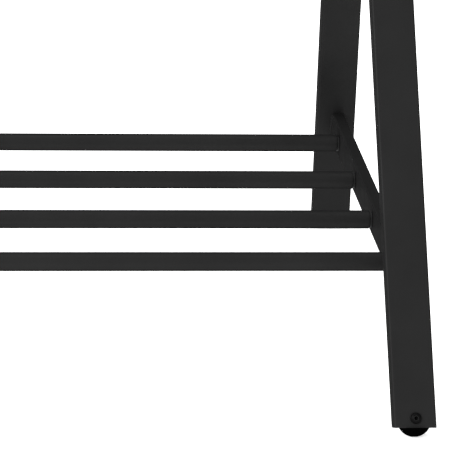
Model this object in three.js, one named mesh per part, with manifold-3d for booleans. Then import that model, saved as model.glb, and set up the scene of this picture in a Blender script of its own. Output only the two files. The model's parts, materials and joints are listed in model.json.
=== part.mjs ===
// A free-standing garment rail: two inverted-Y end frames with slightly splayed legs, a shelf
// of four round bars low down, one hanging rail near the top and four levelling feet.
// Millimetres, +Z up, +X to the right, the front is -Y. The floor is z = 0 and the origin
// lies on it, midway between the four feet.
import * as THREE from "three";
import { mergeVertices } from "three/addons/utils/BufferGeometryUtils.js";
import Module from "manifold-3d";

const wasm = await Module();
wasm.setup();

// ---- driving dimensions ----
const GAP = 0.3; // clearance kept between neighbouring solids
const FRAME_SPACING = 1160; // between the left and right feet
const FOOT_SPREAD = 600; // front to rear, between the leg ends
const APEX_HEIGHT = 800; // where the middle lines of a frame's two legs meet
const SPLAY = THREE.MathUtils.degToRad(3.1); // the legs' lean towards the rack's middle
const TOTAL_HEIGHT = 1500;

const LEG = { width: 40, depth: 20, wall: 1.5, corner: 2 };
const POST = { width: 40, depth: 40, wall: 1.5, corner: 2 };
const APEX_PLATE = { thickness: 5, corner: 2 };
const SPIGOT = { wall: 2, corner: 1, height: 120 };
const SPIGOT_BOLT_HEIGHTS = [35, 90]; // above the apex plate
const CAP = { thickness: 3, skirt: 12, wall: 1.5 };

const CROSS_MEMBER = { width: 12, height: 30, wall: 1.2, corner: 1.5, level: 130, outset: 1 };
const SHELF_BARS = 4;
const BAR = { radius: 9, wall: 1.2 };
const BAR_PLUG = { flangeRadius: 8.2, flange: 2.5, body: 22 };
const RAIL = { radius: 12.5, wall: 1.2, level: 1450 };
const RAIL_PLUG = { flangeRadius: 15.5, flange: 3, body: 30 };

// Button-head socket screws: shank radius, head radius and height, hex socket across flats.
const M5 = { shank: 2.5, head: 4.75, headHeight: 2.75, flats: 3, socket: 1.6 };
const M6 = { shank: 3, head: 5.25, headHeight: 3.3, flats: 4, socket: 2.1 };
const BAR_SCREW_LENGTH = 30;
const RAIL_SCREW_LENGTH = 63;
const SPIGOT_BOLT_LENGTH = 12;

// The levelling foot: an M8 stem with a collar that turns inside a domed pad.
const INSERT_LENGTH = 30;
const CLAMP_SCREW_RISE = 9; // above the leg's lower end
const STEM = { radius: 4, above: 30, collarRadius: 6, collar: 2.4, flats: 4, socket: 1.8 };
const PAD = { radius: 13.8, rim: 0.4, dome: 7.9, roof: 1.5, keyHole: 2.5, floorCut: 0.15 };

// ---- worked out from them ----
const FRAME_X = FRAME_SPACING / 2;
const domeRadius = (PAD.radius ** 2 + PAD.dome ** 2) / (2 * PAD.dome);
const domeCentre = domeRadius - GAP - PAD.rim - PAD.dome; // above the leg's end, on its axis
const [LEAN, LEG_END_HEIGHT] = settleLean();
// The legs are cut level where their outer faces come flush with the post's.
const splitDrop = (POST.depth / 2 - LEG.depth / 2 / Math.cos(LEAN)) / Math.tan(LEAN);
const SPLIT_HEIGHT = APEX_HEIGHT - splitDrop;
const POST_X = legX(SPLIT_HEIGHT);
const SHELF_X = legX(CROSS_MEMBER.level) + CROSS_MEMBER.outset;
const clampScrewTip = STEM.radius + GAP; // the clamp screw stops just short of the stem

const UP = new THREE.Vector3(0, 0, 1);
const BIG = 4000; // size of a half-space block
const ROUND = 24; // facets round a tube or a pad
const PLUG_ROUND = 16; // facets round an end plug
const SMALL_ROUND = 12; // facets round a screw or a hole

// ---- materials ----
const steel = (color, roughness) =>
  new THREE.MeshStandardMaterial({ color, roughness, metalness: 0.3 });
const plastic = (color, roughness) =>
  new THREE.MeshStandardMaterial({ color, roughness, metalness: 0 });
const MATERIALS = {
  powderCoat: steel(0x2e2e2e, 0.55),
  blackScrew: steel(0x161616, 0.4),
  zincStem: new THREE.MeshStandardMaterial({ color: 0x8c8f92, roughness: 0.35, metalness: 0.9 }),
  endPlug: plastic(0x101010, 0.6),
  footPad: plastic(0x080808, 0.45),
};

/** Distance from the rack's middle to the middle of a leg's face, at a height. */
function legX(height) {
  return FRAME_X - Math.tan(SPLAY) * (height - LEG_END_HEIGHT);
}

/** The legs' lean and the height of their lower ends, with the pads' domes cut level at z = 0. */
function settleLean() {
  let lean = 0;
  let endHeight = 0;
  for (let pass = 0; pass < 20; pass += 1) {
    lean = Math.atan(FOOT_SPREAD / 2 / (APEX_HEIGHT - endHeight));
    endHeight = domeRadius - PAD.floorCut - domeCentre * Math.cos(lean);
  }
  return [lean, endHeight];
}

// ---- solids ----
function toSolid(geometry) {
  const bare = geometry.clone();
  bare.deleteAttribute("normal");
  bare.deleteAttribute("uv");
  const merged = mergeVertices(bare, 1e-4);
  return new wasm.Manifold(
    new wasm.Mesh({
      numProp: 3,
      vertProperties: new Float32Array(merged.attributes.position.array),
      triVerts: new Uint32Array(merged.index.array),
    }),
  );
}

function toGeometry(solid) {
  const mesh = solid.getMesh();
  const geometry = new THREE.BufferGeometry();
  geometry.setAttribute("position", new THREE.BufferAttribute(mesh.vertProperties, 3));
  geometry.setIndex(new THREE.BufferAttribute(mesh.triVerts, 1));
  geometry.computeVertexNormals();
  return geometry;
}

/** The first geometry with all the others taken away. */
function cut(geometry, ...tools) {
  const solid = tools.reduce((rest, tool) => rest.subtract(toSolid(tool)), toSolid(geometry));
  return toGeometry(solid);
}

function join(...geometries) {
  return toGeometry(geometries.map(toSolid).reduce((whole, next) => whole.add(next)));
}

function roundedRectangle(width, depth, corner, PathClass = THREE.Shape) {
  const x = width / 2;
  const y = depth / 2;
  const path = new PathClass();
  path.moveTo(-x + corner, -y);
  path.lineTo(x - corner, -y);
  path.absarc(x - corner, -y + corner, corner, -Math.PI / 2, 0);
  path.lineTo(x, y - corner);
  path.absarc(x - corner, y - corner, corner, 0, Math.PI / 2);
  path.lineTo(-x + corner, y);
  path.absarc(-x + corner, y - corner, corner, Math.PI / 2, Math.PI);
  path.lineTo(-x, -y + corner);
  path.absarc(-x + corner, -y + corner, corner, Math.PI, 1.5 * Math.PI);
  return path;
}

/** A block with rounded upright edges, standing on z = 0. */
function roundedBlock(width, depth, corner, height) {
  const shape = roundedRectangle(width, depth, corner);
  return new THREE.ExtrudeGeometry(shape, { depth: height, bevelEnabled: false, curveSegments: 3 });
}

/** A rectangular tube standing on z = 0, open at both ends. */
function rectangularTube(width, depth, wall, corner, height) {
  const shape = roundedRectangle(width, depth, corner);
  const inner = [width - 2 * wall, depth - 2 * wall, Math.max(corner - wall, 0.4)];
  shape.holes.push(roundedRectangle(...inner, THREE.Path));
  return new THREE.ExtrudeGeometry(shape, { depth: height, bevelEnabled: false, curveSegments: 3 });
}

/** A turned piece about Z from [radius, height] points, given in order round its section. */
function turned(points, facets) {
  const profile = points.map(([radius, height]) => new THREE.Vector2(radius, height));
  return new THREE.LatheGeometry(profile, facets);
}

/** A cylinder that starts at z = 0 and runs up Z. */
function rod(radius, length, facets = SMALL_ROUND) {
  return new THREE.CylinderGeometry(radius, radius, length, facets)
    .rotateX(Math.PI / 2)
    .translate(0, 0, length / 2);
}

/** A hexagonal prism that starts at z = 0 and runs up Z. */
function hexPrism(acrossFlats, length) {
  return rod(acrossFlats / Math.sqrt(3), length, 6);
}

/** Round tube along X, centred on the origin. */
function roundTube(radius, wall, length) {
  const half = length / 2;
  const inner = radius - wall;
  const section = [[inner, -half], [radius, -half], [radius, half], [inner, half], [inner, -half]];
  return turned(section, ROUND).rotateZ(-Math.PI / 2);
}

/** A turned piece is made about Y: this stands it up along Z. */
const standUp = (geometry) => geometry.rotateX(Math.PI / 2);

// ---- pieces; each screw and plug is made along Z and turned into place ----
/** Button-head socket screw: shank below z = 0, head above. */
function buttonScrew(size, length) {
  const arc = 3;
  const domed = [];
  for (let step = 0; step <= arc; step += 1) {
    const turn = (step / arc) * 0.42 * Math.PI;
    domed.push([size.head * Math.cos(turn), 0.6 + (size.headHeight - 0.6) * Math.sin(turn)]);
  }
  const tip = 0.6;
  const profile = [
    [0, -length],
    [size.shank - tip, -length],
    [size.shank, -length + tip],
    [size.shank, 0],
    [size.head, 0],
    ...domed,
    [0, size.headHeight],
  ];
  const socket = hexPrism(size.flats, size.socket + 1).translate(0, 0, size.headHeight - size.socket);
  return cut(standUp(turned(profile, SMALL_ROUND)), socket);
}

/** Threaded end plug: flange above z = 0, body below, screw hole down from the flange. */
function endPlug(size, bodyRadius, holeRadius) {
  const holeEnd = -size.body + 3;
  const profile = [
    [0, -size.body],
    [bodyRadius - 1, -size.body],
    [bodyRadius, -size.body + 1],
    [bodyRadius, 0],
    [size.flangeRadius, 0],
    [size.flangeRadius, size.flange],
    [holeRadius, size.flange],
    [holeRadius, holeEnd],
    [0, holeEnd],
  ];
  return standUp(turned(profile, PLUG_ROUND));
}

/** From the frame of a leg's lower end, with Z up the leg and -Y facing out, to the frame of the floor. */
function standOnFoot(geometry) {
  return geometry.rotateX(-LEAN).translate(0, -FOOT_SPREAD / 2, LEG_END_HEIGHT);
}

/** Leans a geometry sideways by the splay, about the leg's lower end. inward is 1 for +X, -1 for -X. */
function splay(geometry, inward) {
  const slope = inward * Math.tan(SPLAY);
  const shear = new THREE.Matrix4().makeShear(0, 0, 0, 0, slope, 0);
  return geometry.translate(0, 0, -LEG_END_HEIGHT).applyMatrix4(shear).translate(0, 0, LEG_END_HEIGHT);
}

/** Front leg of an end frame, leaning back to the frame's middle plane y = 0. */
function legTube(inward) {
  const length = APEX_HEIGHT / Math.cos(LEAN);
  const tube = standOnFoot(rectangularTube(LEG.width, LEG.depth, LEG.wall, LEG.corner, length));
  const hole = rod(M6.shank + GAP, LEG.depth).rotateX(Math.PI / 2).translate(0, 0, CLAMP_SCREW_RISE);
  const above = new THREE.BoxGeometry(BIG, BIG, BIG).translate(0, 0, SPLIT_HEIGHT + BIG / 2);
  const behind = new THREE.BoxGeometry(BIG, BIG, BIG).translate(0, BIG / 2 - GAP / 2, 0);
  return cut(splay(tube, inward), standOnFoot(hole), above, behind);
}

/** Everything within the front leg's outer faces, grown by the gap: it trims the cross member. */
function legSpace() {
  const depth = LEG.depth + 2 * GAP;
  return standOnFoot(new THREE.BoxGeometry(LEG.width + 2, depth, BIG));
}

/** Distance from the frame's middle to a leg's inner face at the shelf's level. */
function shelfReach() {
  const middleLine = FOOT_SPREAD / 2 - (CROSS_MEMBER.level - LEG_END_HEIGHT) * Math.tan(LEAN);
  return middleLine - LEG.depth / 2 / Math.cos(LEAN);
}

/** Where the shelf bars cross the frame, evenly spread from front to rear. */
function barPositions() {
  const pitch = (2 * shelfReach()) / SHELF_BARS;
  return Array.from({ length: SHELF_BARS }, (_, bar) => (bar - (SHELF_BARS - 1) / 2) * pitch);
}

/** Cross member from front leg to rear leg, its ends cut to the legs' lean. */
function crossMember() {
  const { width, height, wall, corner, level } = CROSS_MEMBER;
  const length = FOOT_SPREAD;
  const tube = rectangularTube(width, height, wall, corner, length);
  tube.rotateX(Math.PI / 2).translate(0, length / 2, level);
  const rear = legSpace().rotateZ(Math.PI);
  const holes = barPositions().map((y) =>
    rod(M5.shank + GAP, 3 * width).rotateY(Math.PI / 2).translate(-1.5 * width, y, level),
  );
  const insideLeg = shelfReach() + LEG.depth / 2;
  const beyond = [-1, 1].map((end) =>
    new THREE.BoxGeometry(BIG, FOOT_SPREAD, BIG).translate(0, end * (FOOT_SPREAD / 2 + insideLeg), 0),
  );
  return cut(tube, legSpace(), rear, ...beyond, ...holes);
}

/** Square post, drilled for the spigot's bolts in its outer face and for the rail's screw. */
function upperPost(bottom) {
  const height = TOTAL_HEIGHT - CAP.thickness - GAP - bottom;
  const tube = rectangularTube(POST.width, POST.depth, POST.wall, POST.corner, height);
  const boltHoles = SPIGOT_BOLT_HEIGHTS.map((z) =>
    rod(M6.shank + GAP, POST.width).rotateY(Math.PI / 2).translate(0, 0, z - GAP),
  );
  const railHole = rod(M6.shank + GAP, 2 * POST.width).rotateY(Math.PI / 2);
  railHole.translate(-POST.width, 0, RAIL.level - bottom);
  return cut(tube, railHole, ...boltHoles);
}

/** Square spigot welded on the apex plate; the post slides over it. */
function postSpigot() {
  const side = POST.width - 2 * POST.wall - 2 * GAP;
  const tube = rectangularTube(side, side, SPIGOT.wall, SPIGOT.corner, SPIGOT.height);
  const holes = SPIGOT_BOLT_HEIGHTS.map((z) =>
    rod(M6.shank + GAP, side).rotateY(Math.PI / 2).translate(0, 0, z - GAP),
  );
  return cut(tube, ...holes);
}

/** Plastic cap with a hollow skirt that plugs the top of the post. */
function postCap() {
  const side = POST.width - 2 * POST.wall - 2 * GAP;
  const lid = roundedBlock(POST.width, POST.depth, POST.corner, CAP.thickness);
  const skirt = rectangularTube(side, side, CAP.wall, 1, CAP.skirt + 1).translate(0, 0, -CAP.skirt);
  return join(lid, skirt);
}

/** Plastic insert that fills a leg's lower end, bored for the stem and for the clamp screw. */
function footInsert(inward) {
  const width = LEG.width - 2 * (LEG.wall + GAP);
  const depth = LEG.depth - 2 * (LEG.wall + GAP);
  const block = splay(standOnFoot(roundedBlock(width, depth, 1, INSERT_LENGTH)), inward);
  block.translate(0, FOOT_SPREAD / 2, -LEG_END_HEIGHT).rotateX(LEAN);
  const bore = rod(STEM.radius + GAP, INSERT_LENGTH + 2).translate(0, 0, -1);
  const screwHole = rod(M6.shank + GAP, LEG.depth).rotateX(Math.PI / 2);
  return cut(block, bore, screwHole.translate(0, 0, CLAMP_SCREW_RISE));
}

/** Levelling stem: the collar at its lower end is held inside the pad and takes a hex key. */
function footStem() {
  const collarTop = -(GAP + PAD.roof + GAP);
  const collarBottom = collarTop - STEM.collar;
  const profile = [
    [0, collarBottom],
    [STEM.collarRadius, collarBottom],
    [STEM.collarRadius, collarTop],
    [STEM.radius, collarTop],
    [STEM.radius, STEM.above - 1],
    [STEM.radius - 1, STEM.above],
    [0, STEM.above],
  ];
  const socket = hexPrism(STEM.flats, STEM.socket + 1).translate(0, 0, collarBottom - 1);
  return cut(standUp(turned(profile, SMALL_ROUND)), socket);
}

/** Domed pad, hollow for the stem's collar and cut level where it stands on the floor. */
function footPad() {
  const top = -GAP;
  const cavityTop = top - PAD.roof;
  const cavityBottom = cavityTop - STEM.collar - 2 * GAP;
  const cavityRadius = STEM.collarRadius + GAP;
  const mouth = STEM.radius + GAP;
  const rimAngle = Math.asin(PAD.radius / domeRadius);
  const holeAngle = Math.asin(PAD.keyHole / domeRadius);
  const steps = 8;
  const dome = [];
  for (let step = 0; step <= steps; step += 1) {
    const angle = rimAngle + ((holeAngle - rimAngle) * step) / steps;
    dome.push([domeRadius * Math.sin(angle), domeCentre - domeRadius * Math.cos(angle)]);
  }
  const profile = [
    [mouth, top],
    [mouth, cavityTop],
    [cavityRadius, cavityTop],
    [cavityRadius, cavityBottom],
    [PAD.keyHole, cavityBottom],
    ...dome.reverse(),
    [PAD.radius, top],
    [mouth, top],
  ];
  const floor = new THREE.BoxGeometry(100, 100, 20).translate(0, 0, -LEG_END_HEIGHT - 10);
  return cut(standUp(turned(profile, ROUND)), floor.rotateX(LEAN));
}

// ---- assembly ----
const rack = new THREE.Group();

function place(parent, name, geometry, material, position = [0, 0, 0], direction = null) {
  const mesh = new THREE.Mesh(geometry, material);
  mesh.name = name;
  mesh.position.set(...position);
  if (direction) {
    mesh.quaternion.setFromUnitVectors(UP, new THREE.Vector3(...direction));
  }
  parent.add(mesh);
}

/** One levelling foot in the frame of its leg's lower end: Z runs up the leg, -Y faces out. */
function addFoot(parent, prefix, inward) {
  const foot = new THREE.Group();
  foot.position.set(0, -FOOT_SPREAD / 2, LEG_END_HEIGHT);
  foot.rotation.x = -LEAN;
  const headSeat = -(LEG.depth / 2 + GAP);
  const screwLength = LEG.depth / 2 + GAP - clampScrewTip;
  place(foot, `${prefix}_foot_insert`, footInsert(inward), MATERIALS.endPlug);
  place(
    foot,
    `${prefix}_foot_clamp_screw`,
    buttonScrew(M6, screwLength),
    MATERIALS.blackScrew,
    [0, headSeat, CLAMP_SCREW_RISE],
    [0, -1, 0],
  );
  place(foot, `${prefix}_foot_stem`, footStem(), MATERIALS.zincStem);
  place(foot, `${prefix}_foot_pad`, footPad(), MATERIALS.footPad);
  parent.add(foot);
}

/** The pieces that stand on the legs' level tops. */
function addPost(side, outward) {
  const plateBottom = SPLIT_HEIGHT + GAP;
  const plateTop = plateBottom + APEX_PLATE.thickness;
  const plate = roundedBlock(POST.width, POST.depth, APEX_PLATE.corner, APEX_PLATE.thickness);
  const facing = new THREE.Group(); // +X is the frame's outer side
  facing.rotation.z = outward > 0 ? 0 : Math.PI;
  facing.position.x = outward * POST_X;
  place(facing, `${side}_apex_plate`, plate, MATERIALS.powderCoat, [0, 0, plateBottom]);
  place(facing, `${side}_post_spigot`, postSpigot(), MATERIALS.powderCoat, [0, 0, plateTop + GAP]);
  const post = upperPost(plateTop + GAP);
  place(facing, `${side}_post`, post, MATERIALS.powderCoat, [0, 0, plateTop + GAP]);
  const cap = postCap();
  place(facing, `${side}_post_cap`, cap, MATERIALS.endPlug, [0, 0, TOTAL_HEIGHT - CAP.thickness]);
  const headSeat = POST.width / 2 + GAP;
  SPIGOT_BOLT_HEIGHTS.forEach((z, index) => {
    const bolt = buttonScrew(M6, SPIGOT_BOLT_LENGTH);
    const at = [headSeat, 0, plateTop + z];
    place(facing, `${side}_post_bolt_${index + 1}`, bolt, MATERIALS.blackScrew, at, [1, 0, 0]);
  });
  const railScrew = buttonScrew(M6, RAIL_SCREW_LENGTH);
  const railAt = [headSeat, 0, RAIL.level];
  place(facing, `${side}_rail_screw`, railScrew, MATERIALS.blackScrew, railAt, [1, 0, 0]);
  rack.add(facing);
}

function addEndFrame(side, outward) {
  ["front", "rear"].forEach((end, index) => {
    const corner = new THREE.Group();
    corner.position.x = outward * FRAME_X;
    corner.rotation.z = index * Math.PI;
    const inward = index === 0 ? -outward : outward; // in the corner's own frame
    place(corner, `${end}_${side}_leg`, legTube(inward), MATERIALS.powderCoat);
    addFoot(corner, `${end}_${side}`, inward);
    rack.add(corner);
  });
  const shelfAt = [outward * SHELF_X, 0, 0];
  place(rack, `${side}_shelf_cross_member`, crossMember(), MATERIALS.powderCoat, shelfAt);
  addPost(side, outward);
}

/** A tube from frame to frame, with a flanged plug in each end that bears on the frame. */
function addBar(name, size, plug, plugHole, face, y, z) {
  const flangeSeat = face - GAP;
  const tubeLength = 2 * (flangeSeat - plug.flange - GAP);
  const tube = roundTube(size.radius, size.wall, tubeLength);
  place(rack, name, tube, MATERIALS.powderCoat, [0, y, z]);
  [["left", -1], ["right", 1]].forEach(([side, outward]) => {
    const piece = endPlug(plug, size.radius - size.wall - GAP, plugHole);
    const at = [outward * (flangeSeat - plug.flange), y, z];
    place(rack, `${name}_${side}_plug`, piece, MATERIALS.endPlug, at, [outward, 0, 0]);
  });
}

function addShelf() {
  const { width, level } = CROSS_MEMBER;
  barPositions().forEach((y, index) => {
    const name = `shelf_bar_${index + 1}`;
    addBar(name, BAR, BAR_PLUG, M5.shank + GAP, SHELF_X - width / 2, y, level);
    [["left", -1], ["right", 1]].forEach(([side, outward]) => {
      const screw = buttonScrew(M5, BAR_SCREW_LENGTH);
      const at = [outward * (SHELF_X + width / 2 + GAP), y, level];
      place(rack, `${name}_${side}_screw`, screw, MATERIALS.blackScrew, at, [outward, 0, 0]);
    });
  });
}

addEndFrame("left", -1);
addEndFrame("right", 1);
addShelf();
addBar("hanging_rail", RAIL, RAIL_PLUG, M6.shank + GAP, POST_X - POST.width / 2, 0, RAIL.level);

export default rack;
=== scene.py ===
"""A free-standing garment rail in black powder-coated steel, dressed round its CAD frame.

Metres, +Z up, the front is -Y. Each visible piece is meshed here from closed loops of points
and stands for its CAD node; its place comes from the frame's boxes and joints.
"""

import json
import math
import random

import bpy
from mathutils import Euler, Matrix, Vector


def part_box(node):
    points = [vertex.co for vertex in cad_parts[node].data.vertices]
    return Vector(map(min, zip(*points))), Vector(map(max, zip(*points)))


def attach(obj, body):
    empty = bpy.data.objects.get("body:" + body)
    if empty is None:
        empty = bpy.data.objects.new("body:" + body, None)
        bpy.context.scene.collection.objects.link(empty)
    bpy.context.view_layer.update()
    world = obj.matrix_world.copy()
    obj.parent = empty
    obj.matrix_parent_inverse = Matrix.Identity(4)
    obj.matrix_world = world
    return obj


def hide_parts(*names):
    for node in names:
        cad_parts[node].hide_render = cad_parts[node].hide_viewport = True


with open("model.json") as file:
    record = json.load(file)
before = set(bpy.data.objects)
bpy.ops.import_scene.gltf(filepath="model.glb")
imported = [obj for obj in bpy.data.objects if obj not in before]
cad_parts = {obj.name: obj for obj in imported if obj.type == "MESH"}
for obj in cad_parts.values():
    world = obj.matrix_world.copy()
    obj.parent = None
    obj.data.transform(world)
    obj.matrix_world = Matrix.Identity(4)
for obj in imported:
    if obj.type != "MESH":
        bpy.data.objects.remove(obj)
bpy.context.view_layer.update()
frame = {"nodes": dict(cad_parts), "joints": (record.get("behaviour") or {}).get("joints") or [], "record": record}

MM = 0.001
TAU = 2 * math.pi
X, Y, Z = Vector((1, 0, 0)), Vector((0, 1, 0)), Vector((0, 0, 1))
SIDES = (("left", -1), ("right", 1))
RACK = "rack"

# ---- sizes that the frame's boxes don't give ----
LEG_WIDTH, LEG_DEPTH = 40 * MM, 20 * MM
TUBE_WALL, TUBE_CORNER = 1.5 * MM, 2.2 * MM
CROSS_WALL, CROSS_CORNER = 1.2 * MM, 1.6 * MM
RIM = 0.25 * MM  # the softened edge where a tube is sawn off
GAP = 0.3 * MM
SCREW_RISE = 9 * MM  # clamp screw above the leg's end
BOLT_HOLE = 3.3 * MM
CORNER_STEPS = 6
ROUND = 72  # points round a tube, plug or pad
SCREW_ROUND = 36  # points round a screw, a multiple of six for its socket
M5 = {"shank": 2.5, "head": 4.75, "height": 2.6, "flats": 3.0, "socket": 1.6, "pitch": 0.8}
M6 = {"shank": 3.0, "head": 5.25, "height": 3.1, "flats": 4.0, "socket": 2.1, "pitch": 1.0}
STEM_PITCH = 1.25 * MM
CLAMP_SCREW_LENGTH, POST_BOLT_LENGTH = 6 * MM, 12 * MM
BAR_SCREW_LENGTH, RAIL_SCREW_LENGTH = 30 * MM, 63 * MM
BAR_WALL = 1.2 * MM
BAR_PLUG = {"outer": 8.2 * MM, "flange": 2.5 * MM, "hole": 2.8 * MM}
RAIL_PLUG = {"outer": 15.5 * MM, "flange": 3 * MM, "hole": 3.3 * MM}

# ---- camera, in metres and degrees ----
CAMERA_PLACE = (0.04954, -3.3180, 1.2538)
CAMERA_HEADING, CAMERA_DIP, CAMERA_ROLL = 6.655, 19.089, 2.230
CAMERA_LENS, SENSOR = 279.24, 36.0  # millimetres


# ================= materials =================
class Nodes:
    """A short way to write a node material."""

    def __init__(self, name):
        self.material = bpy.data.materials.new(name)
        self.material.use_nodes = True
        self.tree = self.material.node_tree
        self.shader = self.tree.nodes["Principled BSDF"]
        self.coords = self.add("ShaderNodeTexCoord").outputs["Object"]

    def add(self, kind, **settings):
        node = self.tree.nodes.new(kind)
        for key, value in settings.items():
            setattr(node, key, value)
        return node

    def link(self, source, target):
        self.tree.links.new(source, target)

    def noise(self, scale, detail=2.0, roughness=0.5, stretch=None):
        texture = self.add("ShaderNodeTexNoise")
        texture.inputs["Scale"].default_value = scale
        texture.inputs["Detail"].default_value = detail
        texture.inputs["Roughness"].default_value = roughness
        coords = self.coords
        if stretch:
            mapping = self.add("ShaderNodeMapping")
            mapping.inputs["Scale"].default_value = stretch
            self.link(coords, mapping.inputs["Vector"])
            coords = mapping.outputs["Vector"]
        self.link(coords, texture.inputs["Vector"])
        return texture.outputs["Fac"]

    def span(self, value, low, high, from_low=0.3, from_high=0.7):
        """value, spread from one range to another."""
        spread = self.add("ShaderNodeMapRange")
        for name, number in (
            ("From Min", from_low), ("From Max", from_high), ("To Min", low), ("To Max", high),
        ):
            spread.inputs[name].default_value = number
        self.link(value, spread.inputs["Value"])
        return spread.outputs["Result"]

    def mix(self, factor, first, second):
        """A colour between two, each a colour or a socket."""
        blend = self.add("ShaderNodeMix", data_type="RGBA")
        self.link(factor, blend.inputs["Factor"])
        for socket, colour in ((blend.inputs[6], first), (blend.inputs[7], second)):
            if isinstance(colour, bpy.types.NodeSocket):
                self.link(colour, socket)
            else:
                socket.default_value = (*colour, 1)
        return blend.outputs[2]

    def edges(self, radius, low=0.02, high=0.22):
        """1 along the sharp outer edges, 0 on the flats."""
        bevel = self.add("ShaderNodeBevel", samples=4)
        bevel.inputs["Radius"].default_value = radius
        plain = self.add("ShaderNodeNewGeometry")
        dot = self.add("ShaderNodeVectorMath", operation="DOT_PRODUCT")
        self.link(bevel.outputs["Normal"], dot.inputs[0])
        self.link(plain.outputs["Normal"], dot.inputs[1])
        away = self.add("ShaderNodeMath", operation="SUBTRACT")
        away.inputs[0].default_value = 1.0
        self.link(dot.outputs["Value"], away.inputs[1])
        return self.span(away.outputs["Value"], 0, 1, low, high)

    def bump(self, *layers):
        """layers are (height socket, strength, distance), finest last."""
        normal = None
        for height, strength, distance in layers:
            bump = self.add("ShaderNodeBump")
            bump.inputs["Strength"].default_value = strength
            bump.inputs["Distance"].default_value = distance
            self.link(height, bump.inputs["Height"])
            if normal is not None:
                self.link(normal, bump.inputs["Normal"])
            normal = bump.outputs["Normal"]
        self.link(normal, self.shader.inputs["Normal"])

    def finish(self, colour, roughness, metallic=0.0, specular=0.5, rim=1.0):
        """rim is how bright the metallic share of the surface is towards grazing angles."""
        self.link(colour, self.shader.inputs["Base Color"])
        self.link(roughness, self.shader.inputs["Roughness"])
        self.shader.inputs["Metallic"].default_value = metallic
        self.shader.inputs["Specular IOR Level"].default_value = specular
        self.shader.inputs["Specular Tint"].default_value = (rim, rim, rim, 1)
        return self.material


def powder_coat():
    """Satin charcoal powder coat: fine orange peel, faint mottling, paler edges: wear and painted highlight."""
    m = Nodes("powder_coat")
    mottle = m.noise(14, detail=3)
    grain = m.noise(2600, detail=2)
    peel = m.noise(520, detail=2, roughness=0.45)
    body = m.mix(m.span(mottle, 0, 1), (0.0122, 0.0122, 0.0122), (0.0143, 0.0143, 0.0143))
    speckled = m.mix(m.span(grain, 0, 0.4, 0.55, 0.75), body, (0.018, 0.018, 0.018))
    # Edges lightened a shade: partly light wear, partly a painted edge highlight.
    pale_edges = m.mix(m.span(m.edges(0.7 * MM), 0, 0.25, 0, 1), speckled, (0.024, 0.024, 0.024))
    m.bump((peel, 0.16, 0.25 * MM), (grain, 0.10, 0.05 * MM))
    return m.finish(pale_edges, m.span(m.noise(60, detail=4), 0.40, 0.50), metallic=0.35, specular=0.0, rim=0.12)


def black_oxide():
    """Blackened screw steel with turning marks and polished edges."""
    m = Nodes("black_oxide")
    streaks = m.noise(700, detail=3, stretch=(1, 1, 5))
    edge = m.edges(0.25 * MM, 0.03, 0.3)
    base = m.mix(m.span(streaks, 0, 1), (0.0012, 0.0012, 0.0012), (0.0035, 0.0035, 0.0035))
    pale_edges = m.mix(edge, base, (0.016, 0.016, 0.016))
    m.bump((streaks, 0.12, 0.04 * MM))
    return m.finish(pale_edges, m.span(streaks, 0.30, 0.44), metallic=0.25, specular=0.03)


def moulded_plastic():
    """Black moulded plastic with a fine spark-eroded grain."""
    m = Nodes("moulded_plastic")
    grain = m.noise(1500, detail=4, roughness=0.6)
    edge = m.edges(0.4 * MM, 0.03, 0.3)
    base = m.mix(m.span(m.noise(35), 0, 1), (0.0035, 0.0035, 0.0035), (0.006, 0.006, 0.006))
    rubbed = m.mix(m.span(edge, 0, 0.6, 0, 1), base, (0.014, 0.014, 0.014))
    m.bump((grain, 0.2, 0.08 * MM))
    return m.finish(rubbed, m.span(grain, 0.46, 0.62), specular=0.16)


def foot_rubber():
    """Deep black foot, smooth from the mould, a little scuffed."""
    m = Nodes("foot_rubber")
    scuffs = m.noise(320, detail=5, roughness=0.65, stretch=(1, 1, 2.5))
    deep, scuffed = (0.0004, 0.0004, 0.0004), (0.0012, 0.0012, 0.0012)
    base = m.mix(m.span(scuffs, 0, 1, 0.45, 0.8), deep, scuffed)
    m.bump((m.noise(900, detail=3), 0.12, 0.06 * MM))
    return m.finish(base, m.span(scuffs, 0.5, 0.66), specular=0.0)


def zinc():
    """Bright zinc-plated steel, slightly clouded."""
    m = Nodes("zinc")
    cloud = m.noise(240, detail=4)
    base = m.mix(m.span(cloud, 0, 1), (0.42, 0.43, 0.45), (0.60, 0.61, 0.62))
    m.bump((m.noise(1800, detail=2), 0.1, 0.03 * MM))
    return m.finish(base, m.span(cloud, 0.24, 0.4), metallic=1.0)


def studio_paper():
    """White paper over a light table, which keeps the shadows faint."""
    m = Nodes("studio_paper")
    paper = m.mix(m.span(m.noise(6), 0, 1), (0.90, 0.90, 0.90), (0.92, 0.92, 0.92))
    m.shader.inputs["Emission Color"].default_value = (1, 1, 1, 1)
    m.shader.inputs["Emission Strength"].default_value = 0.6
    return m.finish(paper, m.span(m.noise(40), 0.9, 1.0), specular=0.0)


MATERIALS = {
    "powder_coated_steel": powder_coat(),
    "black_screw": black_oxide(),
    "end_plug": moulded_plastic(),
    "foot_pad": foot_rubber(),
    "zinc_stem": zinc(),
}


# ================= meshes from loops of points =================
def circle(radius, height, count):
    """Points about Z. radius is a number, or a function of the angle."""
    of_angle = radius if callable(radius) else lambda angle: radius
    turns = [TAU * k / count for k in range(count)]
    return [Vector((of_angle(t) * math.cos(t), of_angle(t) * math.sin(t), height)) for t in turns]


def turned(profile, count=ROUND):
    return [circle(radius, height, count) for radius, height in profile]


def rounded_outline(width, depth, corner):
    """A rounded rectangle in the XY plane, anticlockwise."""
    points = []
    centres = ((1, -1, -90), (1, 1, 0), (-1, 1, 90), (-1, -1, 180))
    for sx, sy, start in centres:
        cx, cy = sx * (width / 2 - corner), sy * (depth / 2 - corner)
        for step in range(CORNER_STEPS + 1):
            angle = math.radians(start + 90 * step / CORNER_STEPS)
            points.append(Vector((cx + corner * math.cos(angle), cy + corner * math.sin(angle), 0)))
    return points


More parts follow.
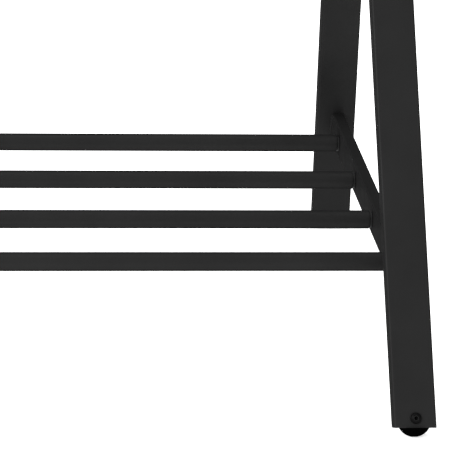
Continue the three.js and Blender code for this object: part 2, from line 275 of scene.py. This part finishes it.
def skin(loops, wrap=False):
    """Vertices and faces over loops of equally many points: capped at its ends, or wrapped round."""
    count = len(loops[0])
    points = [point for loop in loops for point in loop]
    faces = []
    last = len(loops) if wrap else len(loops) - 1
    for row in range(last):
        a, b = row * count, (row + 1) % len(loops) * count
        for k in range(count):
            n = (k + 1) % count
            faces.append((a + k, a + n, b + n, b + k))
    if not wrap:
        faces.append(tuple(reversed(range(count))))
        faces.append(tuple((len(loops) - 1) * count + k for k in range(count)))
    return points, faces


def frame_of(origin, up, towards):
    """Matrix whose Z runs along up and whose Y is towards, as nearly as up allows."""
    z = up.normalized()
    x = towards.cross(z).normalized()
    y = z.cross(x)
    turn = Matrix((x, y, z)).transposed().to_4x4()
    return Matrix.Translation(origin) @ turn


def pointing(origin, direction):
    """Matrix whose Z runs along direction, for a piece turned about its own axis."""
    aside = Y if abs(direction.normalized().dot(Y)) < 0.9 else X
    return frame_of(Vector(origin), direction, aside)


def make(name, loops, material, place=None, wrap=False, sharp=32):
    """A smooth-shaded object over the loops, with edges over the sharp angle kept crisp."""
    points, faces = skin(loops, wrap)
    mesh = bpy.data.meshes.new(name)
    mesh.from_pydata(points, [], faces)
    if place is not None:
        mesh.transform(place)
    signed = sum(
        mesh.vertices[t.vertices[0]].co.dot(
            mesh.vertices[t.vertices[1]].co.cross(mesh.vertices[t.vertices[2]].co)
        )
        for t in triangles(mesh)
    )
    if signed < 0:
        mesh.flip_normals()
    mesh.shade_smooth()
    mesh.set_sharp_from_angle(angle=math.radians(sharp))
    mesh.materials.append(material)
    piece = bpy.data.objects.new(name, mesh)
    bpy.context.scene.collection.objects.link(piece)
    even = piece.modifiers.new("even_normals", "WEIGHTED_NORMAL")
    even.keep_sharp = True
    even.weight = 100
    return piece


def triangles(mesh):
    mesh.calc_loop_triangles()
    return mesh.loop_triangles


def drill(piece, holes):
    """Cuts round holes, given as (centre, direction, radius, length), through a piece."""
    for index, (centre, direction, radius, length) in enumerate(holes):
        bore = turned([(radius, -length / 2), (radius, length / 2)], SCREW_ROUND)
        place = pointing(centre, direction)
        tool = make(f"{piece.name}_tool_{index}", bore, piece.data.materials[0], place)
        cut = piece.modifiers.new("hole", "BOOLEAN")
        cut.object = tool
        cut.solver = "EXACT"
        piece.modifiers.move(len(piece.modifiers) - 1, 0)
        bpy.context.view_layer.update()
        ready = piece.evaluated_get(bpy.context.evaluated_depsgraph_get())
        drilled = bpy.data.meshes.new_from_object(ready)
        piece.modifiers.remove(cut)
        piece.data = drilled
        bpy.data.objects.remove(tool)


def stand_for(piece, node, body=RACK):
    """The piece takes the place of a CAD node and rides on its body."""
    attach(piece, body)
    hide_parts(node)
    return piece


def part(node, loops, place=None, wrap=False, body=RACK, sharp=32):
    material = MATERIALS[SLOT_OF[node]]
    piece = make(f"{node}_piece", loops, material, place, wrap, sharp)
    return stand_for(piece, node, body)


SLOT_OF = {row["node"]: row["material_slot"] for row in frame["record"]["subparts"]}


# ================= kinds of piece =================
def tube_loops(outline, inner, start, end):
    """Loops of an open tube. start and end give the height of its cut over a point (x, y)."""

    def at(points, height, lift=0.0):
        return [Vector((p.x, p.y, height(p) + lift)) for p in points]

    soft = [p * (1 - RIM / p.length) for p in outline]
    return [
        at(soft, start),
        at(outline, start, RIM),
        at(outline, end, -RIM),
        at(soft, end),
        at(inner, end),
        at(inner, start),
    ]


def tube(node, width, depth, wall, corner, place, start, end, body=RACK):
    outline = rounded_outline(width, depth, corner)
    inner = rounded_outline(width - 2 * wall, depth - 2 * wall, max(corner - wall, 0.5 * MM))
    return part(node, tube_loops(outline, inner, start, end), place, wrap=True, body=body)


def round_tube(node, radius, wall, low, high, place):
    """A round tube with softly deburred rims."""
    profile = [
        (radius - wall, low + RIM),
        (radius - wall + RIM, low),
        (radius - RIM, low),
        (radius, low + RIM),
        (radius, high - RIM),
        (radius - RIM, high),
        (radius - wall + RIM, high),
        (radius - wall, high - RIM),
    ]
    return part(node, turned(profile), place, wrap=True)


def thread_loops(radius, pitch, low, high, rows=4, chamfer=0.6 * MM):
    """Loops of a right-handed thread about Z, tapered at its low end and run out at its high end."""
    depth = 0.55 * pitch
    loops = []
    steps = max(int((high - low) / pitch * rows), 2)
    for step in range(steps + 1):
        z = low + (high - low) * step / steps
        taper = max(chamfer - (z - low), 0)
        fade = min((high - z) / pitch, 1)

        def reach(angle, z=z, taper=taper, fade=fade):
            phase = (z / pitch - angle / TAU) % 1
            groove = depth * fade * (1 - abs(2 * phase - 1))
            return min(radius - groove, radius - taper)

        loops.append(circle(reach, z, SCREW_ROUND))
    return loops


def hexagon(flats):
    """Radius of a hexagon as a function of the angle."""

    def reach(angle):
        off = (angle + TAU / 12) % (TAU / 6) - TAU / 12
        return flats / 2 / math.cos(off)

    return reach


def socket_loops(flats, mouth, depth, direction=-1):
    """A chamfered hex socket with a drilled point, sunk from the height mouth."""
    corner = flats / math.sqrt(3)
    lead = 0.18 * MM
    of_hex = hexagon(flats)
    return [
        circle(corner + lead, mouth, SCREW_ROUND),
        circle(of_hex, mouth + direction * 1.6 * lead, SCREW_ROUND),
        circle(of_hex, mouth + direction * depth, SCREW_ROUND),
        circle(flats * 0.42, mouth + direction * depth, SCREW_ROUND),
        circle(flats * 0.04, mouth + direction * (depth + 0.25 * flats), SCREW_ROUND),
    ]


def screw(node, size, length, threaded, seat, outward):
    """Button-head socket screw whose head sits at seat and whose shank runs in from there."""
    shank, head, height = size["shank"] * MM, size["head"] * MM, size["height"] * MM
    skirt = 0.5 * MM
    loops = thread_loops(shank, size["pitch"] * MM, -length, -length + threaded)
    loops += turned([(shank, -0.4 * MM), (shank + 0.3 * MM, 0), (head - 0.2 * MM, 0)], SCREW_ROUND)
    steps = 9
    for step in range(steps + 1):
        angle = math.radians(72) * step / steps
        rise = skirt + (height - skirt) * math.sin(angle) / math.sin(math.radians(72))
        loops.append(circle(head * math.cos(angle) ** 0.8, rise, SCREW_ROUND))
    loops += socket_loops(size["flats"] * MM, height, size["socket"] * MM)
    return part(node, loops, pointing(seat, outward), sharp=28)


def plug(node, outer, body_radius, flange, body_length, hole, seat, outward):
    """End plug: a rounded flange beyond the seat, and a ribbed body inside the tube."""
    soft = 0.35 * MM
    profile = [(outer - soft, 0), (outer, soft), (outer, flange - soft), (outer - soft, flange)]
    profile += [(hole + soft, flange), (hole, flange - soft), (hole, 3 * MM - body_length)]
    profile += [(0.05 * MM, 2.4 * MM - body_length), (0.05 * MM, -body_length)]
    profile += [(body_radius - 1 * MM, -body_length), (body_radius, 1 * MM - body_length)]
    rib = 3 * MM
    at = 1 * MM - body_length + rib
    while at < -rib:
        groove = 0.5 * MM
        profile += [(body_radius, at), (body_radius - groove, at + groove)]
        profile += [(body_radius - groove, at + 2 * groove), (body_radius, at + 3 * groove)]
        at += rib
    profile += [(body_radius, 0)]
    return part(node, turned(profile), pointing(seat, outward), wrap=True)


def weld(name, start, end, radius, seed, body=RACK):
    """A run of weld under the powder coat: a tapered bead with overlapping ripples."""
    draw = random.Random(seed)
    run = end - start
    ripple = 1.5 * MM
    steps = max(int(run.length / ripple * 6), 12)
    count = 14
    loops = []
    for step in range(steps + 1):
        t = step / steps
        ends = math.sin(math.pi * min(t, 1 - t, 0.06) / 0.12)
        crest = abs(math.sin(math.pi * t * run.length / ripple))
        size = radius * max(ends, 0.15) * (0.90 + 0.10 * crest) * draw.uniform(0.985, 1.015)
        loops.append(circle(size, t * run.length, count))
    bead = make(name, loops, MATERIALS["powder_coated_steel"], pointing(start, run), sharp=60)
    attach(bead, body)
    return bead


# ================= the rail =================
def corner_of(end, side):
    """The leg's lower end, its direction up and its outer face's direction, from the foot's joint."""
    joint = next(j for j in frame["joints"] if j["name"] == f"{end}_{side}_stem_turn")
    foot = Vector(joint["pos_m"])
    up = -Vector(joint["axis"]).normalized()
    out = X.cross(up) * (1 if foot.y < 0 else -1)
    return foot, up, out


def splay_of(end, side):
    """Matrix that leans a leg sideways, about its foot, until its top stands under the post."""
    foot, up, out = corner_of(end, side)
    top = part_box(f"{end}_{side}_leg")[1].z
    slope = (centre_of(f"{side}_post").x - foot.x) / (top - foot.z)
    lean = Matrix.Identity(4)
    lean[0][2] = slope
    lean[0][3] = -slope * foot.z
    return lean


def add_leg(end, side):
    node = f"{end}_{side}_leg"
    foot, up, out = corner_of(end, side)
    place = splay_of(end, side) @ frame_of(foot, up, -out)
    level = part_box(node)[1].z
    middle = GAP / 2

    def top(point):
        """Height of the cut: level under the apex plate, upright along the frame's middle."""
        there = place @ Vector((point.x, point.y, 0))
        to_level = (level - there.z) / up.z
        to_middle = (abs(there.y) - middle) / abs(up.y)
        return min(to_level, to_middle)

    leg = tube(
        node, LEG_WIDTH, LEG_DEPTH, TUBE_WALL, TUBE_CORNER, place, start=lambda point: 0.0, end=top
    )
    hole = foot + up * SCREW_RISE + out * (LEG_DEPTH / 2)
    drill(leg, [(hole, out, BOLT_HOLE, 4 * TUBE_WALL)])


def add_foot(end, side):
    name = f"{end}_{side}"
    foot, up, out = corner_of(end, side)
    seat = foot + up * SCREW_RISE + out * (LEG_DEPTH / 2 + GAP)
    screw(f"{name}_foot_clamp_screw", M6, CLAMP_SCREW_LENGTH, 4.5 * MM, seat, out)
    finish_node(f"{name}_foot_insert")
    place = frame_of(foot, up, -out)
    add_pad(name, place)
    add_stem(name, place)


def add_pad(name, place):
    """Domed pad, pressed level where it stands on the floor."""
    radius, rim, dome, roof = 13.8 * MM, 0.4 * MM, 7.9 * MM, 1.5 * MM
    mouth, cavity, key_hole = 4.3 * MM, 6.3 * MM, 2.5 * MM
    top = -0.05 * MM
    ball = (radius**2 + dome**2) / (2 * dome)
    centre = -GAP - rim - dome + ball
    cavity_top, cavity_low = -GAP - roof, -GAP - roof - 3.0 * MM
    soft = 0.15 * MM
    profile = [(mouth, top - soft), (mouth, cavity_top), (cavity, cavity_top), (cavity, cavity_low)]
    profile += [(key_hole, cavity_low)]
    start, stop = math.asin((key_hole + 0.2 * MM) / ball), math.asin(radius / ball)
    steps = 26
    for step in range(steps + 1):
        angle = start + (stop - start) * step / steps
        profile.append((ball * math.sin(angle), centre - ball * math.cos(angle)))
    profile += [(radius, top - soft), (radius - soft, top), (mouth + soft, top)]
    loops = turned(profile)
    for loop in loops:
        for point in loop:
            below = -(place @ point).z
            if below > 0:
                point += (place.inverted().to_3x3() @ Z) * below
    part(f"{name}_foot_pad", loops, place, wrap=True, body=f"{name}_pad", sharp=40)


def add_stem(name, place):
    """M8 levelling stem with a collar and a hex socket at its lower end."""
    radius, collar, thick = 4 * MM, 6 * MM, 2.4 * MM
    low = -(2 * GAP + 1.5 * MM) - thick
    soft = 0.25 * MM
    loops = list(reversed(socket_loops(4 * MM, low, 1.8 * MM, direction=1)))
    shape = [(collar - soft, low), (collar, low + soft), (collar, low + thick - soft)]
    shape += [(collar - soft, low + thick), (radius + 0.2 * MM, low + thick)]
    shape += [(radius, low + thick + 0.3 * MM)]
    loops += turned(shape, SCREW_ROUND)
    thread = thread_loops(radius, STEM_PITCH, -30 * MM, 0.6 * MM, rows=5)
    loops += [[Vector((p.x, -p.y, -p.z)) for p in reversed(loop)] for loop in reversed(thread)]
    part(f"{name}_foot_stem", matched(loops), place, body=f"{name}_stem", sharp=40)


def matched(loops):
    """The loops, each turned so that its first point is the one nearest to angle zero, all one way."""
    tidy = []
    for loop in loops:
        area = sum(a.x * b.y - b.x * a.y for a, b in zip(loop, loop[1:] + loop[:1]))
        ordered = loop if area > 0 else list(reversed(loop))
        first = min(range(len(ordered)), key=lambda k: abs(math.atan2(ordered[k].y, ordered[k].x)))
        tidy.append(ordered[first:] + ordered[:first])
    return tidy


def finish_node(node):
    """A CAD node that is right as it is, with its finish and smooth curves."""
    piece = frame["nodes"][node]
    piece.data.materials.clear()
    piece.data.materials.append(MATERIALS[SLOT_OF[node]])
    piece.data.shade_smooth()
    piece.data.set_sharp_from_angle(angle=math.radians(32))


def add_cross_member(side, outward):
    """Flat tube between the legs, sawn to their lean, with a weld down each side of its ends."""
    node = f"{side}_shelf_cross_member"
    low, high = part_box(node)
    middle = (low + high) / 2
    width, height = high.x - low.x, high.z - low.z
    foot, up, out = corner_of("front", side)
    face = foot - out * (LEG_DEPTH / 2 + GAP)  # a point on the front leg's inner face, less the gap
    place = frame_of(middle, Y, Z)

    def reach(point):
        there = place @ Vector((point.x, point.y, 0))
        front = face.y + (there.z - face.z) * up.y / up.z
        return abs(front)

    member = tube(
        node, width, height, CROSS_WALL, CROSS_CORNER, place,
        start=lambda point: -reach(point), end=reach,
    )
    bars = [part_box(f"shelf_bar_{k}") for k in range(1, 5)]
    centres = [Vector((middle.x, (a.y + b.y) / 2, middle.z)) for a, b in bars]
    drill(member, [(centre, X, 2.8 * MM, 3 * width) for centre in centres])
    for end in ("front", "rear"):
        foot, up, out = corner_of(end, side)
        for label, across in (("in", -1), ("out", 1)):
            x = middle.x + outward * across * width / 2
            root = foot - out * (LEG_DEPTH / 2)
            seam = [root + up * ((z - root.z) / up.z) for z in (low.z + 1.5 * MM, high.z - 1.5 * MM)]
            points = [Vector((x, point.y, point.z)) for point in seam]
            weld(f"{end}_{side}_shelf_weld_{label}", *points, 1.5 * MM, f"{end}{side}{label}")


def add_post(side, outward):
    """Apex plate, square post and its fasteners, cap and the welds round the leg tops."""
    plate = f"{side}_apex_plate"
    low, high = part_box(plate)
    middle = (low + high) / 2
    width = high.x - low.x
    soft = 0.4 * MM
    outline = rounded_outline(width, width, TUBE_CORNER)
    inset = rounded_outline(width - 2 * soft, width - 2 * soft, TUBE_CORNER - soft)
    heights = ((inset, low.z), (outline, low.z + soft), (outline, high.z - soft), (inset, high.z))
    place = Matrix.Translation((middle.x, 0, 0))
    part(plate, [[p + Z * z for p in points] for points, z in heights], place)

    node = f"{side}_post"
    foot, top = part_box(node)
    post = tube(
        node, width, width, TUBE_WALL, TUBE_CORNER, place,
        start=lambda point: foot.z, end=lambda point: top.z,
    )
    outside = X * outward
    face = middle.x + outward * (width / 2)
    bolts = [centre_of(f"{side}_post_bolt_{k}") for k in (1, 2)]
    rail = centre_of("hanging_rail")
    holes = [(Vector((face, 0, bolt.z)), X, BOLT_HOLE, 4 * TUBE_WALL) for bolt in bolts]
    holes.append((Vector((middle.x, 0, rail.z)), X, BOLT_HOLE, 2 * width))
    drill(post, holes)
    seat_x = face + outward * GAP
    for k, bolt in enumerate(bolts, 1):
        screw(f"{side}_post_bolt_{k}", M6, POST_BOLT_LENGTH, 9 * MM, (seat_x, 0, bolt.z), outside)
    screw(f"{side}_rail_screw", M6, RAIL_SCREW_LENGTH, 18 * MM, (seat_x, 0, rail.z), outside)
    finish_node(f"{side}_post_spigot")
    add_cap(side, middle.x, width)
    add_apex_welds(side, middle.x, low.z, width)


def centre_of(node):
    low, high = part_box(node)
    return (low + high) / 2


def add_cap(side, x, width):
    """Moulded cap: a softly crowned lid over a hollow skirt."""
    node = f"{side}_post_cap"
    low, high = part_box(node)
    seam = high.z - 3 * MM
    skirt = width - 2 * (TUBE_WALL + GAP)
    wall = 1.5 * MM
    lip = 0.2 * MM

    def loop(inset, z, corner=TUBE_CORNER):
        size = width - 2 * inset
        return [p + Z * z for p in rounded_outline(size, size, max(corner - inset * 0.5, 0.8 * MM))]

    def inner(size, z):
        return [p + Z * z for p in rounded_outline(size, size, 1.0 * MM)]

    loops = [
        inner(skirt - 2 * wall, seam - 0.5 * MM),
        inner(skirt - 2 * wall, low.z),
        inner(skirt - 0.6 * MM, low.z),
        inner(skirt, low.z + 1.0 * MM),
        inner(skirt, seam),
        loop(lip, seam),
        loop(0, seam + lip),
        loop(0, high.z - 1.6 * MM),
    ]
    steps = 8
    for step in range(1, steps + 1):
        angle = math.radians(84) * step / steps
        inset = 1.5 * MM * (1 - math.cos(angle))
        loops.append(loop(inset, high.z - 1.6 * MM + 1.2 * MM * math.sin(angle)))
    crown = 10
    for step in range(1, crown):
        t = step / crown
        rise = 0.4 * MM * (1 - (1 - t) ** 2)
        loops.append(loop(1.4 * MM + t * (width / 2 - 2.4 * MM), high.z - 0.4 * MM + rise))
    part(node, loops, Matrix.Translation((x, 0, 0)), sharp=50)


def add_apex_welds(side, x, seam, width):
    """Slim beads between the leg tops and the apex plate, and one in the crotch below."""
    reach = width / 2 - TUBE_CORNER
    level = seam - GAP / 2
    size = 0.8 * MM
    for label, y in (("front", -width / 2), ("rear", width / 2)):
        ends = Vector((x - reach, y, level)), Vector((x + reach, y, level))
        weld(f"{side}_apex_weld_{label}", *ends, size, f"{side}{label}")
    for label, across in (("in", -1), ("out", 1)):
        at = x + across * width / 2
        ends = Vector((at, -reach, level)), Vector((at, reach, level))
        weld(f"{side}_apex_weld_{label}", *ends, size, f"{side}{label}")
    foot, up, out = corner_of("front", side)
    inner = foot - out * (LEG_DEPTH / 2)
    crotch = inner + up * (abs(inner.y) / abs(up.y))
    ends = [Vector((x + s * (width / 2 - 3 * MM), 0, crotch.z - 1.2 * MM)) for s in (-1, 1)]
    weld(f"{side}_apex_weld_under", *ends, 2.2 * MM, f"{side}under")


def add_bar(node, wall, plug_size):
    """A round tube between the frames and the plugs in its ends."""
    low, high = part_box(node)
    middle = (low + high) / 2
    radius = (high.z - low.z) / 2
    round_tube(node, radius, wall, low.x, high.x, pointing((0, middle.y, middle.z), X))
    for side, outward in SIDES:
        name = f"{node}_{side}_plug"
        a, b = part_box(name)
        tip = max(abs(a.x), abs(b.x))
        flange = plug_size["flange"]
        seat = (outward * (tip - flange), middle.y, middle.z)
        plug(
            name, plug_size["outer"], radius - wall - GAP, flange,
            (b.x - a.x) - flange, plug_size["hole"], seat, X * outward,
        )


def add_shelf():
    for k in range(1, 5):
        add_bar(f"shelf_bar_{k}", BAR_WALL, BAR_PLUG)
        for side, outward in SIDES:
            name = f"shelf_bar_{k}_{side}_screw"
            low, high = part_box(f"{side}_shelf_cross_member")
            face = max(abs(low.x), abs(high.x))
            middle = centre_of(name)
            seat = (outward * (face + GAP), middle.y, middle.z)
            screw(name, M5, BAR_SCREW_LENGTH, 14 * MM, seat, X * outward)


def add_rail():
    add_bar("hanging_rail", BAR_WALL, RAIL_PLUG)


# ================= studio =================
def add_studio():
    """Pale paper floor, an even white surround and soft lights from the front left and above."""
    reach = 30.0
    floor = bpy.data.meshes.new("studio_floor")
    corners = [(-reach, -reach, 0), (reach, -reach, 0), (reach, reach, 0), (-reach, reach, 0)]
    floor.from_pydata(corners, [], [(0, 1, 2, 3)])
    floor.materials.append(studio_paper())
    stage = bpy.data.objects.new("studio_floor", floor)
    bpy.context.scene.collection.objects.link(stage)
    world = bpy.data.worlds.new("surround")
    world.use_nodes = True
    backdrop = world.node_tree.nodes["Background"]
    backdrop.inputs["Color"].default_value = (1, 1, 1, 1)
    backdrop.inputs["Strength"].default_value = 1.05
    bpy.context.scene.world = world
    add_softbox("key_light", (-2.4, -3.0, 2.4), 2.5, 240)
    add_softbox("top_light", (-0.4, 0.6, 5.0), 4.0, 150)


def add_softbox(name, place, size, power):
    light = bpy.data.lights.new(name, "AREA")
    light.shape = "SQUARE"
    light.size = size
    light.energy = power
    box = bpy.data.objects.new(name, light)
    box.location = place
    aim = Vector((0, 0, 0.7)) - box.location
    box.rotation_euler = aim.to_track_quat("-Z", "Y").to_euler()
    bpy.context.scene.collection.objects.link(box)


def add_camera():
    lens = bpy.data.cameras.new("camera")
    lens.lens = CAMERA_LENS
    lens.sensor_width = SENSOR
    lens.clip_end = 200
    camera = bpy.data.objects.new("camera", lens)
    tilt = Euler((math.radians(90 - CAMERA_DIP), 0, -math.radians(CAMERA_HEADING)))
    roll = Matrix.Rotation(math.radians(CAMERA_ROLL), 4, "Z")
    camera.matrix_world = Matrix.Translation(CAMERA_PLACE) @ tilt.to_matrix().to_4x4() @ roll
    bpy.context.scene.collection.objects.link(camera)
    bpy.context.scene.camera = camera


def set_tones():
    """Plain display tones, so that black coat and white paper keep their values."""
    settings = bpy.context.scene.view_settings
    settings.view_transform = "Standard"
    settings.look = "None"


add_camera()
for side, outward in SIDES:
    for end in ("front", "rear"):
        add_leg(end, side)
        add_foot(end, side)
    add_cross_member(side, outward)
    add_post(side, outward)
add_shelf()
add_rail()
add_studio()
set_tones()
